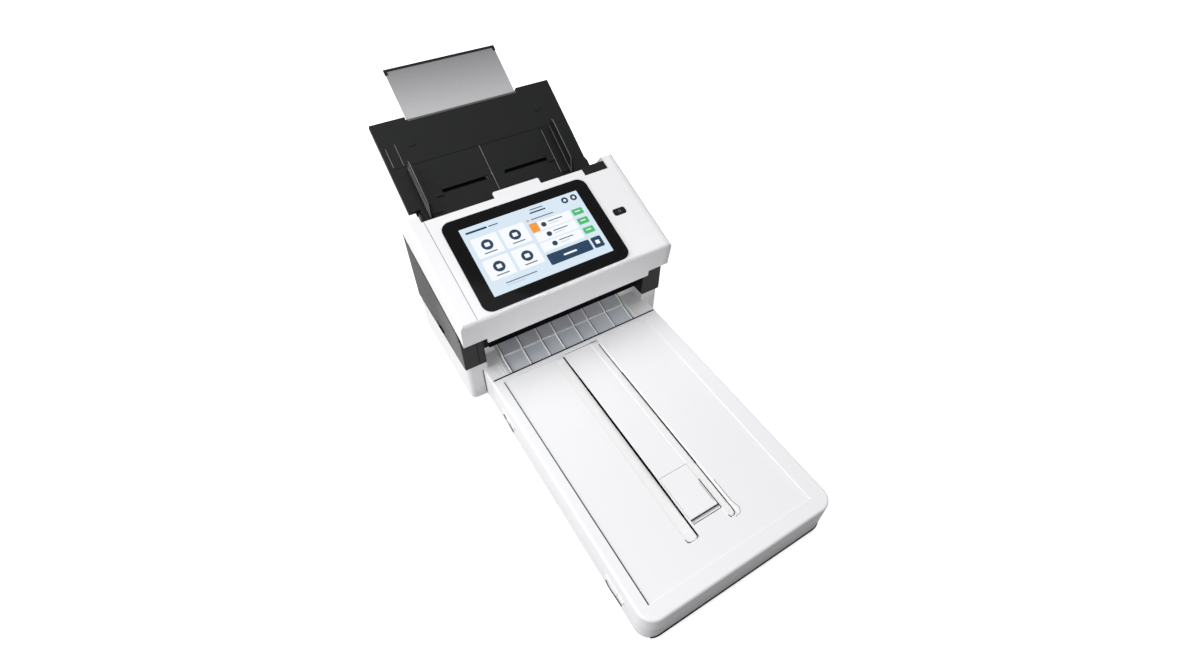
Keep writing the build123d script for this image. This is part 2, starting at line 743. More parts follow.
def scan_glass(down, low):
    """The glass strip in a guide's scan window."""
    half = SCAN_WINDOW_LENGTH / 2
    half_width = SCAN_WINDOW_WIDTH / 2
    block(
        PAPER_X - half, PAPER_X + half, -down - half_width, -down + half_width, low,
        low + GUIDE_THICKNESS,
    )


with BuildPart(path) as lower_scan_bar:
    scan_bar(LOWER_SCAN_DOWN, -GUIDE_THICKNESS, -GUIDE_THICKNESS - SCAN_BAR_DEPTH)
save(lower_scan_bar, "lower_scan_bar")

with BuildPart(path) as upper_scan_bar:
    scan_bar(UPPER_SCAN_DOWN, guide_top, guide_top + SCAN_BAR_DEPTH)
save(upper_scan_bar, "upper_scan_bar")

with BuildPart(path) as lower_scan_glass:
    scan_glass(LOWER_SCAN_DOWN, -GUIDE_THICKNESS)
save(lower_scan_glass, "lower_scan_glass")

with BuildPart(path) as upper_scan_glass:
    scan_glass(UPPER_SCAN_DOWN, PATH_GAP)
save(upper_scan_glass, "upper_scan_glass")

# The three driven rollers: a shaft with hubs and a belt pulley, and its rubber tyres
tyre_thickness = 3.0
hub_radius = ROLLER_RADIUS - tyre_thickness
pulley_start = ear_inner + 4.0
pulley_end = pulley_start + BELT_WIDTH + 1.0
driven_rollers = {
    "feed": (feed_centre, feed_tyres_x, FEED_TYRE_WIDTH),
    "transport": (transport_centre, transport_tyres_x, TYRE_WIDTH),
    "exit": (exit_centre, transport_tyres_x, TYRE_WIDTH),
}
for roller_name, (centre, tyres_x, tyre_width) in driven_rollers.items():
    with BuildPart() as shaft:
        rod_x(centre, SHAFT_RADIUS, -wall_outer, pulley_end)
        for x_middle in tyres_x:
            rod_x(centre, hub_radius, x_middle - tyre_width / 2, x_middle + tyre_width / 2)
        rod_x(centre, PULLEY_RADIUS, pulley_start, pulley_end)
    save(shaft, f"{roller_name}_roller")
    with BuildPart() as tyres:
        for x_middle in tyres_x:
            x_low = x_middle - tyre_width / 2
            rod_x(centre, ROLLER_RADIUS, x_low, x_low + tyre_width)
            rod_x(centre, hub_radius, x_low, x_low + tyre_width, mode=Mode.SUBTRACT)
    save(tyres, f"{roller_name}_tyres")

# The idle rollers in the cover
pinch_width = 14.0
idle_rollers = {
    "transport_pinch_roller": (
        transport_pinch, PINCH_RADIUS, transport_tyres_x, pinch_width,
    ),
    "exit_pinch_roller": (exit_pinch, PINCH_RADIUS, transport_tyres_x, pinch_width),
    "separation_roller": (separation_centre, SEPARATION_RADIUS, [PAPER_X], separation_width),
}
for roller_name, (centre, radius, places, width) in idle_rollers.items():
    with BuildPart() as idler:
        rod_x(centre, PINCH_SHAFT_RADIUS, -web_outer, web_outer)
        for x_middle in places:
            rod_x(centre, radius, x_middle - width / 2, x_middle + width / 2)
    save(idler, roller_name)

# The drive motor inside the right wall, its pulley, and the belt round all four pulleys
motor_radius = 17.0
motor_length = 36.0
with BuildPart() as drive_motor:
    rod_x(motor_centre, motor_radius, PATH_HALF_WIDTH - motor_length, PATH_HALF_WIDTH)
save(drive_motor, "drive_motor")

with BuildPart() as motor_pulley:
    rod_x(motor_centre, SHAFT_RADIUS, PATH_HALF_WIDTH + SOFT_GAP, pulley_end)
    rod_x(motor_centre, PULLEY_RADIUS, pulley_start, pulley_end)
save(motor_pulley, "motor_pulley")

belt_start = (pulley_start + pulley_end - BELT_WIDTH) / 2
with BuildPart() as drive_belt:
    with BuildSketch(Plane.YZ.offset(belt_start)):
        with BuildLine():
            Polyline(feed_centre, exit_centre, motor_centre, close=True)
        make_face()
        offset(amount=PULLEY_RADIUS + SOFT_GAP + BELT_THICKNESS, kind=Kind.ARC)
    extrude(amount=BELT_WIDTH)
    with BuildSketch(Plane.YZ.offset(belt_start)):
        with BuildLine():
            Polyline(feed_centre, exit_centre, motor_centre, close=True)
        make_face()
        offset(amount=PULLEY_RADIUS + SOFT_GAP, kind=Kind.ARC)
    extrude(amount=BELT_WIDTH, mode=Mode.SUBTRACT)
save(drive_belt, "drive_belt")

# The bracket that carries the input tray, with a raised block beside the mouth
tray_pivot = path_point(TRAY_PIVOT_UP, -TRAY_PIVOT_DEPTH)
tray_right = TRAY_NECK_LEFT + TRAY_WIDTH - TRAY_NECK_STEP
tray_left = tray_right - TRAY_WIDTH
ear_thickness = 3.5
trough_depth = 22.0
trough_reach = 30.0
ear_half = 7.0
ear_rise = 6.0
trough_wall = 2.0
mouth_left = NOTCH_START + 1.0
mouth_right = half_body - SHOULDER_WIDTH - SEAM_GAP
mouth_top = 1.0
mouth_front_gap = 1.5
mouth_reach = 4.0
mouth_bottom = 5.0
mouth_bottom_rear = 3.6
mouth_bottom_front = 5.0
mouth_foot_rear = 3.0
mouth_block = [
    cover_point(COVER_LENGTH - NOTCH_DEPTH + mouth_front_gap, -mouth_top),
    cover_point(COVER_LENGTH + mouth_reach, -mouth_top),
    path_point(mouth_bottom_rear, mouth_bottom),
    path_point(-mouth_bottom_front, mouth_bottom),
]
mouth_foot = [
    path_point(mouth_foot_rear, mouth_bottom + 1),
    path_point(mouth_foot_rear, -trough_depth - 1),
    path_point(-SEAM_GAP, -trough_depth - 1),
    path_point(-SEAM_GAP, mouth_bottom + 1),
]
with BuildPart(path) as tray_bracket:
    block(
        -PATH_HALF_WIDTH, PATH_HALF_WIDTH, -SEAM_GAP, trough_reach,
        -trough_depth - trough_wall, -trough_depth,
    )
    for x_low, x_high in (
        (-PATH_HALF_WIDTH, TRAY_NECK_LEFT - SOFT_GAP),
        (tray_right + SOFT_GAP, tray_right + SOFT_GAP + ear_thickness),
    ):
        block(
            x_low, x_high, TRAY_PIVOT_UP - ear_half, TRAY_PIVOT_UP + ear_half, -trough_depth,
            -TRAY_PIVOT_DEPTH + ear_rise,
        )
    outline(mouth_block, mouth_left, mouth_right)
    outline(mouth_foot, tray_right + SOFT_GAP, PATH_HALF_WIDTH)
    rod_x(tray_pivot, TRAY_PIN_RADIUS + RUNNING_GAP, -half_body, half_body, mode=Mode.SUBTRACT)
save(tray_bracket, "tray_bracket")

# The input tray, with its guide slots, rails and the pinion's pin
pinion_radius = GEAR_MODULE * PINION_TEETH / 2
slot_near = 11.8
slot_inset = 21.2
slot_length = GUIDE_HALF_SPAN - slot_near - slot_inset
slot_width = 5.0
rim = 2.0
lug_width = 5.0
lug_half = 5.0
lug_below = 4.0
pin_root = 1.0
pinion_pin_radius = 4.0
pinion_pin_overlap = 0.5
washer_gap = 1.0
extension_slot_gap = 1.0
extension_left = PAPER_X - EXTENSION_WIDTH / 2
extension_right = PAPER_X + EXTENSION_WIDTH / 2
with BuildPart(path) as input_tray:
    block(tray_left, tray_right, TRAY_MARGIN_START, TRAY_SEAM, -TRAY_DEPTH, 0)
    block(TRAY_NECK_LEFT, tray_right, TRAY_START, TRAY_MARGIN_START, -TRAY_DEPTH, 0)
    block(
        tray_left + rim, tray_right - rim, TRAY_MARGIN_START + rim, TRAY_SEAM - rim,
        -TRAY_DEPTH, -TRAY_SKIN, mode=Mode.SUBTRACT,
    )
    block(
        TRAY_NECK_LEFT + rim, tray_right - rim, TRAY_START + rim, TRAY_MARGIN_START + rim,
        -TRAY_DEPTH, -TRAY_SKIN, mode=Mode.SUBTRACT,
    )
    block(
        extension_left - extension_slot_gap, extension_right + extension_slot_gap,
        TRAY_SEAM - rim, TRAY_SEAM, extension_floor - extension_slot_gap, -TRAY_SKIN,
        mode=Mode.SUBTRACT,
    )
    for side in (-1, 1):
        near = PAPER_X + side * slot_near
        far = near + side * slot_length
        low, high = sorted((near, far))
        block(
            low, high, SLOT_UP - slot_width / 2, SLOT_UP + slot_width / 2, -TRAY_SKIN, 0,
            mode=Mode.SUBTRACT,
        )
    with BuildSketch(path.offset(-GEAR_DEPTH - GEAR_THICKNESS - washer_gap)):
        with Locations((PAPER_X, SLOT_UP)):
            Circle(pinion_pin_radius)
    extrude(amount=GEAR_DEPTH + GEAR_THICKNESS + washer_gap - TRAY_SKIN + pinion_pin_overlap)
    for x_edge, side in ((TRAY_NECK_LEFT, -1), (tray_right, 1)):
        low, high = sorted((x_edge, x_edge - side * lug_width))
        block(
            low, high, TRAY_PIVOT_UP - lug_half, TRAY_PIVOT_UP + lug_half,
            -TRAY_PIVOT_DEPTH - lug_below, -TRAY_SKIN,
        )
        low, high = sorted((x_edge - side * pin_root, x_edge + side * ear_thickness))
        rod_x(tray_pivot, TRAY_PIN_RADIUS, low, high)
save(input_tray, "input_tray")

# The upper section of the tray, notched at its end, with rails for the extension
rail_wall = 2.0
rail_lip = 3.0
rail_floor = 1.5
rail_start = 4.0
rail_end = 0.5
with BuildPart(path) as tray_upper:
    block(tray_left, tray_right, TRAY_SEAM, TRAY_END, -TRAY_DEPTH, 0)
    block(
        tray_left + rim, tray_right - rim, TRAY_SEAM, TRAY_END - rim, -TRAY_DEPTH, -TRAY_SKIN,
        mode=Mode.SUBTRACT,
    )
    block(
        extension_left - TRAY_NOTCH_MARGIN, extension_right + TRAY_NOTCH_MARGIN, NOTCH_LEVEL,
        TRAY_END, -TRAY_DEPTH, 0, mode=Mode.SUBTRACT,
    )
    for x_edge, side in ((extension_left, -1), (extension_right, 1)):
        rail_outer = x_edge + side * (SOFT_GAP + rail_wall)
        for rail_inner, rail_top_level in (
            (x_edge + side * SOFT_GAP, -TRAY_SKIN),
            (x_edge - side * rail_lip, extension_floor - SOFT_GAP),
        ):
            low, high = sorted((rail_inner, rail_outer))
            block(
                low, high, TRAY_SEAM + rail_start, NOTCH_LEVEL - rail_end,
                extension_floor - rail_floor, rail_top_level,
            )
save(tray_upper, "tray_upper")

# A plate closes both tray sections from below
back_inset = 1.0
back_thickness = 1.5
with BuildPart(path) as tray_back:
    block(
        tray_left + back_inset, tray_right - back_inset, TRAY_MARGIN_START + back_inset,
        NOTCH_LEVEL - back_inset, -TRAY_DEPTH - back_thickness, -TRAY_DEPTH,
    )
save(tray_back, "tray_back")

# The extension slides up out of the upper section
plate_end = EXTENSION_END - CAP_WALL
plate_length = plate_end - EXTENSION_START
plate_middle = EXTENSION_START + plate_length / 2
plate_corner = 3.0
extension_top = extension_floor + EXTENSION_THICKNESS
with BuildPart() as extension_plate:
    rounded_slab(
        path.offset(extension_floor), (PAPER_X, plate_middle), EXTENSION_WIDTH, plate_length,
        plate_corner, EXTENSION_THICKNESS,
    )
save(extension_plate, "extension_plate")

# A black cap on the extension's end, with a short leg at either side
with BuildPart(path) as extension_cap:
    block(
        extension_left - CAP_WALL, extension_right + CAP_WALL, EXTENSION_END - CAP_LEG,
        EXTENSION_END, extension_floor, extension_top + CAP_WALL,
    )
    block(
        extension_left + CAP_LEG_WIDTH, extension_right - CAP_LEG_WIDTH,
        EXTENSION_END - CAP_LEG, EXTENSION_END - CAP_BAND, extension_floor,
        extension_top + CAP_WALL, mode=Mode.SUBTRACT,
    )
    rounded_slab(
        path.offset(extension_floor), (PAPER_X, plate_middle), EXTENSION_WIDTH, plate_length,
        plate_corner, EXTENSION_THICKNESS, mode=Mode.SUBTRACT,
    )
save(extension_cap, "extension_cap")

# The pinion, and the two paper guides whose racks it couples
tooth_pitch = pi * GEAR_MODULE
addendum = 0.8 * GEAR_MODULE
dedendum = 1.1 * GEAR_MODULE
tooth_half = (tooth_pitch / 2 - BACKLASH) / 2
tooth_root_overlap = 0.5
flank = tan(radians(PRESSURE_ANGLE))
tip_half = tooth_half - addendum * flank
root_half = tooth_half + dedendum * flank
gear_floor = -GEAR_DEPTH - GEAR_THICKNESS


def pinion_tooth(angle):
    """The four corners of a pinion tooth that points at an angle, on the tray's plane."""
    along = (cos(angle), sin(angle))
    root = pinion_radius - dedendum - tooth_root_overlap
    tip = pinion_radius + addendum
    corners = ((root, -root_half), (tip, -tip_half), (tip, tip_half), (root, root_half))
    return [
        (PAPER_X + out * along[0] - wide * along[1], SLOT_UP + out * along[1] + wide * along[0])
        for out, wide in corners
    ]


with BuildPart() as pinion:
    with BuildSketch(path.offset(gear_floor)):
        with Locations((PAPER_X, SLOT_UP)):
            Circle(pinion_radius - dedendum)
        for index in range(PINION_TEETH):
            with BuildLine():
                Polyline(*pinion_tooth(2 * pi * index / PINION_TEETH - pi / 2), close=True)
            make_face()
        with Locations((PAPER_X, SLOT_UP)):
            Circle(pinion_pin_radius + RUNNING_GAP, mode=Mode.SUBTRACT)
    extrude(amount=GEAR_THICKNESS)
save(pinion, "guide_pinion")

fin_thickness = 3.0
fin_toe_height = 0.2 * GUIDE_HEIGHT
fin_bend = 7.0
fin_bend_height = 0.52 * GUIDE_HEIGHT
fin_rise = 13.0
fin_corner = 3.0
fin_points = [
    path_point(GUIDE_START, SOFT_GAP),
    path_point(GUIDE_START, fin_toe_height),
    path_point(GUIDE_START + fin_bend, fin_bend_height),
    path_point(GUIDE_START + fin_rise, GUIDE_HEIGHT),
    path_point(GUIDE_END - fin_corner, GUIDE_HEIGHT),
    path_point(GUIDE_END, GUIDE_HEIGHT - fin_corner),
    path_point(GUIDE_END, SOFT_GAP),
]
foot_plate = 15.0
foot_plate_inset = 4.0
foot_plate_thickness = 1.4
tongue_half = 6.0
foot_half = 2.0
foot_top = 1.0
foot_play = 0.5
foot_reach = slot_near + slot_length - foot_half - foot_play
rack_back = 4.0
rack_tail = 14.7
tooth_sink = 0.2
tooth_count = int(foot_reach / tooth_pitch)
for guide_name, side in (("paper_guide_left", -1), ("paper_guide_right", 1)):
    fin_x = PAPER_X + side * GUIDE_HALF_SPAN
    foot_x = PAPER_X + side * foot_reach
    rack_line = SLOT_UP + side * pinion_radius
    rack_root = rack_line + side * dedendum
    rack_low, rack_high = sorted((PAPER_X - side * rack_tail, foot_x + side * foot_half))
    with BuildPart(path) as guide:
        low, high = sorted((fin_x, fin_x + side * fin_thickness))
        outline(fin_points, low, high)
        low, high = sorted((fin_x, fin_x - side * foot_plate))
        block(
            low, high, GUIDE_START + foot_plate_inset, GUIDE_END - foot_plate_inset, SOFT_GAP,
            SOFT_GAP + foot_plate_thickness,
        )
        low, high = sorted((fin_x, foot_x - side * foot_half))
        block(
            low, high, SLOT_UP - tongue_half, SLOT_UP + tongue_half, SOFT_GAP,
            SOFT_GAP + foot_plate_thickness,
        )
        block(
            foot_x - foot_half, foot_x + foot_half, SLOT_UP - foot_half, SLOT_UP + foot_half,
            gear_floor, SOFT_GAP + foot_top,
        )
        low, high = sorted((rack_root, rack_root + side * rack_back))
        block(rack_low, rack_high, low, high, gear_floor, -GEAR_DEPTH)
        low, high = sorted((SLOT_UP, rack_root + side * rack_back))
        block(foot_x - foot_half, foot_x + foot_half, low, high, gear_floor, -GEAR_DEPTH)
        with BuildSketch(path.offset(gear_floor)):
            for index in range(-2, tooth_count):
                tooth_x = PAPER_X + side * (index + 0.5) * tooth_pitch
                root = rack_root + side * tooth_sink
                tip = rack_line - side * addendum
                with BuildLine():
                    Polyline(
                        (tooth_x - root_half, root), (tooth_x + root_half, root),
                        (tooth_x + tip_half, tip), (tooth_x - tip_half, tip), close=True,
                    )
                make_face()
        extrude(amount=GEAR_THICKNESS)
    save(guide, guide_name)

# The swinging cover: top, front face, sides and the two rear shoulders
shoulder_top = cover_point(SHOULDER_LENGTH, 0)
shoulder_foot = (behind(BODY_REAR), SIDE_REAR_HEIGHT)
slope_length = hypot(shoulder_foot[0] - shoulder_top[0], shoulder_foot[1] - shoulder_top[1])
slope = (
    (shoulder_foot[0] - shoulder_top[0]) / slope_length,
    (shoulder_foot[1] - shoulder_top[1]) / slope_length,
)
hollow_reach = 20.0
fold_inset = 2.0
crest_inset = 1.9
face_step = 4.0
inner_foot = (
    shoulder_foot[0] + COVER_WALL * slope[1] + hollow_reach * slope[0],
    shoulder_foot[1] - COVER_WALL * slope[0] + hollow_reach * slope[1],
)
cover_outline = [
    cover_point(0, 0),
    shoulder_top,
    shoulder_foot,
    (behind(BODY_FRONT - face_step), side_height(BODY_FRONT - face_step)),
    (face_y(FACE_END_HEIGHT), FACE_END_HEIGHT),
]
cover_hollow = [
    cover_point(fold_inset, -COVER_WALL),
    cover_point(SHOULDER_LENGTH - crest_inset, -COVER_WALL),
    inner_foot,
    (face_y(FACE_FOOT_HEIGHT) + COVER_WALL, FACE_FOOT_HEIGHT - hollow_reach),
    (face_y(FACE_FOOT_HEIGHT) + COVER_WALL, FACE_FOOT_HEIGHT),
]
apron_top = FACE_END_HEIGHT + 6.0
apron = [
    (face_y(apron_top), apron_top),
    (face_y(apron_top) + COVER_WALL, apron_top),
    (face_y(FACE_FOOT_HEIGHT) + COVER_WALL, FACE_FOOT_HEIGHT),
    (face_y(FACE_FOOT_HEIGHT), FACE_FOOT_HEIGHT),
]
shoulder_inner = half_body - SHOULDER_WIDTH
shoulder_web_inset = 1.5
shoulder_web_top = 0.5
shoulder_web_front = 1.0
shoulder_web_bottom = 6.0
shoulder_web = [
    (
        behind(cover_end_behind + shoulder_web_front),
        side_height(cover_end_behind) + shoulder_web_bottom,
    ),
    cover_point(COVER_LENGTH + shoulder_web_front, -shoulder_web_top),
    cover_point(SHOULDER_LENGTH - shoulder_web_inset, -shoulder_web_top),
    (shoulder_foot[0] - shoulder_web_inset, shoulder_foot[1] + SEAM_GAP),
]
arm_outer = panel_inner - PART_GAP
arm_inner = ear_outer + PART_GAP
hinge_eye = 6.0
hinge_eye_front = 4.0
arm_front = HINGE_BEHIND - 2.0
arm_rear = HINGE_BEHIND + 24.0
arm_reach = 14.0
pad_bottom = 3.0
pad_taper = 2.0
pad_overlap = 0.5
arm_points = [
    (hinge_centre[0] - hinge_eye_front, hinge_centre[1]),
    (hinge_centre[0] + hinge_eye, hinge_centre[1]),
    (behind(arm_rear), side_height(arm_rear) + arm_reach),
    (behind(arm_front), side_height(arm_front) + arm_reach),
]
arm_pad = [
    (behind(arm_rear - pad_taper), side_height(arm_rear - pad_taper) + pad_bottom),
    (behind(arm_rear), side_height(arm_rear) + arm_reach),
    (behind(arm_front), side_height(arm_front) + arm_reach),
    (behind(arm_front), side_height(arm_front) + pad_bottom),
]
edge_round = 5.0
seam_rear_x = -136.5
seam_front_x = -134.4
seam_width = 0.7
seam_depth = 0.9
seam_overrun = 2.0
shoulder_cut = 80.0
shoulder_cut_depth = 90.0
tab_root = 6.0
tab_corner = 2.5
rear_web_depth = 8.0
rear_web_top = 0.5
rear_web_gap = 2.0
notch_overrun = 2.0
notch_cut_depth = 20.0
hole_corner = 2.0
hole_depth = 10.0
with BuildPart() as cover_shell:
    outline(cover_outline, -half_body, half_body)
    upward = Axis(origin=cover_top.origin, direction=cover_top.z_dir)
    top_face = cover_shell.faces().sort_by(upward)[-1]
    fillet(top_face.edges(), radius=edge_round)
    outline(cover_hollow, -panel_inner, panel_inner, mode=Mode.SUBTRACT)
    outline(apron, -APRON_WIDTH / 2, APRON_WIDTH / 2)
    with BuildSketch(cover_top.offset(-shoulder_cut_depth)):
        with Locations((0, COVER_LENGTH + shoulder_cut / 2)):
            Rectangle(2 * shoulder_inner, shoulder_cut)
    extrude(amount=shoulder_cut_depth + hole_depth, mode=Mode.SUBTRACT)
    for side in (-1, 1):
        inner, outer = sorted((side * shoulder_inner, side * (shoulder_inner + COVER_WALL)))
        outline(shoulder_web, inner, outer)
        inner, outer = sorted((side * arm_inner, side * arm_outer))
        outline(arm_points, inner, outer)
        rod_x(hinge_centre, hinge_eye, inner, outer)
        inner, outer = sorted((side * arm_inner, side * (panel_inner + pad_overlap)))
        outline(arm_pad, inner, outer)
        rod_x(
            hinge_centre, HINGE_PIN_RADIUS + RUNNING_GAP, -half_body, half_body,
            mode=Mode.SUBTRACT,
        )
    rounded_slab(
        cover_top.offset(-COVER_WALL), (0, COVER_LENGTH + (TAB_REACH - tab_root) / 2), TAB_WIDTH,
        TAB_REACH + tab_root, tab_corner, COVER_WALL,
    )
    with BuildSketch(cover_top.offset(-rear_web_depth)):
        with Locations((0, COVER_LENGTH - COVER_WALL / 2)):
            Rectangle(2 * (shoulder_inner - rear_web_gap), COVER_WALL)
    extrude(amount=rear_web_depth - rear_web_top)
    notch_middle = (
        (NOTCH_START + shoulder_inner) / 2, COVER_LENGTH - (NOTCH_DEPTH - notch_overrun) / 2,
    )
    with BuildSketch(cover_top.offset(-notch_cut_depth)):
        with Locations(notch_middle):
            Rectangle(shoulder_inner - NOTCH_START, NOTCH_DEPTH + notch_overrun)
    extrude(amount=notch_cut_depth + hole_depth, mode=Mode.SUBTRACT)
    rounded_slab(
        cover_top.offset(-BEZEL_THICKNESS + BEZEL_PROUD), (SCREEN_X, SCREEN_ALONG),
        BEZEL_WIDTH + PART_GAP, BEZEL_LENGTH + PART_GAP, BEZEL_CORNER, hole_depth,
        mode=Mode.SUBTRACT,
    )
    rounded_slab(
        cover_top.offset(-hole_depth), (SCREEN_X, SCREEN_ALONG), PANEL_WIDTH + PART_GAP,
        PANEL_LENGTH + PART_GAP, hole_corner, 2 * hole_depth, mode=Mode.SUBTRACT,
    )
    rounded_slab(
        cover_top.offset(-hole_depth), (BUTTON_X, BUTTON_ALONG), BUTTON_WIDTH + 2 * PART_GAP,
        BUTTON_LENGTH + 2 * PART_GAP, BUTTON_CORNER, 2 * hole_depth, mode=Mode.SUBTRACT,
    )
    with BuildSketch(cover_top.offset(-seam_depth)):
        with BuildLine():
            Polyline(
                (seam_rear_x, COVER_LENGTH + seam_overrun),
                (seam_rear_x + seam_width, COVER_LENGTH + seam_overrun),
                (seam_front_x + seam_width, -seam_overrun), (seam_front_x, -seam_overrun),
                close=True,
            )
        make_face()
    extrude(amount=seam_depth + seam_overrun, mode=Mode.SUBTRACT)
save(cover_shell, "cover_shell")

# The touch screen: black glass, display module behind it and its board
with BuildPart() as screen_glass:
    rounded_slab(
        cover_top.offset(-BEZEL_THICKNESS + BEZEL_PROUD), (SCREEN_X, SCREEN_ALONG), BEZEL_WIDTH,
        BEZEL_LENGTH, BEZEL_CORNER, BEZEL_THICKNESS,
    )
save(screen_glass, "screen_glass")

panel_top = BEZEL_PROUD - BEZEL_THICKNESS
with BuildPart() as display_module:
    rounded_slab(
        cover_top.offset(panel_top - PANEL_THICKNESS), (SCREEN_X, SCREEN_ALONG), PANEL_WIDTH,
        PANEL_LENGTH, hole_corner, PANEL_THICKNESS,
    )
save(display_module, "display_module")

standoff = 3.0
display_half_width = PANEL_WIDTH / 2 - 20.0
display_half_length = PANEL_LENGTH / 2 - 17.0
pillar_inset = 6.0
pillar_half = 3.0
with BuildPart(cover_top) as display_board:
    board_top = panel_top - PANEL_THICKNESS - standoff
    block(
        SCREEN_X - display_half_width, SCREEN_X + display_half_width,
        SCREEN_ALONG - display_half_length, SCREEN_ALONG + display_half_length,
        board_top - board_thickness, board_top,
    )
    for x_side in (-1, 1):
        for along_side in (-1, 1):
            x = SCREEN_X + x_side * (display_half_width - pillar_inset)
            along = SCREEN_ALONG + along_side * (display_half_length - pillar_inset)
            block(
                x - pillar_half, x + pillar_half, along - pillar_half, along + pillar_half,
                board_top, board_top + standoff,
            )
save(display_board, "display_board")

# The power button, pressed into its hole in the cover
button_proud = 0.5
button_depth = 7.0
with BuildPart() as power_button:
    rounded_slab(
        cover_top.offset(button_proud - button_depth), (BUTTON_X, BUTTON_ALONG), BUTTON_WIDTH,
        BUTTON_LENGTH, BUTTON_CORNER - PART_GAP, button_depth,
    )
save(power_button, "power_button")

# The pins of the cover's hinge and of the flatbed lid's two hinges
lid_hinge = (LID_HINGE_X, LID_HINGE_HEIGHT)
knuckle_span = 3 * KNUCKLE_LENGTH
with BuildPart() as hinge_pins:
    for side in (-1, 1):
        inner, outer = sorted((side * ear_inner, side * (arm_outer - 0.2)))
        rod_x(hinge_centre, HINGE_PIN_RADIUS, inner, outer)
    for place in LID_HINGE_PLACES:
        rod_y(
            lid_hinge, KNUCKLE_PIN_RADIUS, behind(place) - knuckle_span / 2,
            behind(place) + knuckle_span / 2,
        )
save(hinge_pins, "hinge_pins")

# The flatbed's lower case, which runs under the rear deck to the dock
deck_rear = dock_front
frame_bottom = BASE_TOP - 5.0
base_floor = FOOT_HEIGHT + 2.5
knuckle_room = KNUCKLE_RADIUS + PART_GAP
rail_inset = 6.0
rail_x = GLASS_X - GLASS_WIDTH / 2 + rail_inset
rail_half = 2.0
rail_rear = 4.0
rail_root = 1.0
rail_top = 8.0
with BuildPart() as flatbed_base:
    flatbed_slab(0, FOOT_HEIGHT, BASE_TOP, deck_rear)
    flatbed_slab(SHELL_WALL, base_floor, BASE_TOP, deck_rear - SHELL_WALL, mode=Mode.SUBTRACT)
    block(
        rail_x - rail_half, rail_x + rail_half, behind(-LID_LENGTH) + SHELL_WALL - rail_root,
        behind(-rail_rear), base_floor - rail_root, rail_top,
    )
    for place in LID_HINGE_PLACES:
        low = behind(place) - knuckle_span / 2 - PART_GAP
        high = behind(place) + knuckle_span / 2 + PART_GAP
        rod_y(lid_hinge, knuckle_room, low, high, mode=Mode.SUBTRACT)
        middle_low = behind(place) - KNUCKLE_LENGTH / 2 + SOFT_GAP
        middle_high = behind(place) + KNUCKLE_LENGTH / 2 - SOFT_GAP
        rod_y(lid_hinge, KNUCKLE_RADIUS, middle_low, middle_high)
        block(
            LID_HINGE_X - KNUCKLE_RADIUS, -half_flatbed + SHELL_WALL, middle_low, middle_high,
            frame_bottom, LID_HINGE_HEIGHT,
        )
        rod_y(
            lid_hinge, KNUCKLE_PIN_RADIUS, middle_low - 1, middle_high + 1, mode=Mode.SUBTRACT,
        )
save(flatbed_base, "flatbed_base")

# The top frame round the scan glass
glass_left = GLASS_X - GLASS_WIDTH / 2
glass_right = GLASS_X + GLASS_WIDTH / 2
glass_rear = behind(-GLASS_REAR_MARGIN)
glass_front = glass_rear - GLASS_LENGTH
with BuildPart() as flatbed_frame:
    flatbed_slab(SHELL_WALL, frame_bottom, BASE_TOP, behind(0))
    block(
        glass_left + GLASS_LEDGE, glass_right - GLASS_LEDGE, glass_front + GLASS_LEDGE,
        glass_rear - GLASS_LEDGE, frame_bottom, BASE_TOP, mode=Mode.SUBTRACT,
    )
    block(
        glass_left, glass_right, glass_front, glass_rear, BASE_TOP - GLASS_THICKNESS, BASE_TOP,
        mode=Mode.SUBTRACT,
    )
    for place in LID_HINGE_PLACES:
        low = behind(place) - knuckle_span / 2 - PART_GAP
        high = behind(place) + knuckle_span / 2 + PART_GAP
        rod_y(lid_hinge, knuckle_room, low, high, mode=Mode.SUBTRACT)
save(flatbed_frame, "flatbed_frame")

with BuildPart() as flatbed_glass:
    block(glass_left, glass_right, glass_front, glass_rear, BASE_TOP - GLASS_THICKNESS, BASE_TOP)
save(flatbed_glass, "flatbed_glass")

# The scan carriage, its guide rod, belt, pulleys and motor
rod_front = behind(-LID_LENGTH) + SHELL_WALL
rod_rear = deck_rear - SHELL_WALL
with BuildPart() as guide_rod:
    rod_y((ROD_X, ROD_HEIGHT), ROD_RADIUS, rod_front, rod_rear)
save(guide_rod, "guide_rod")

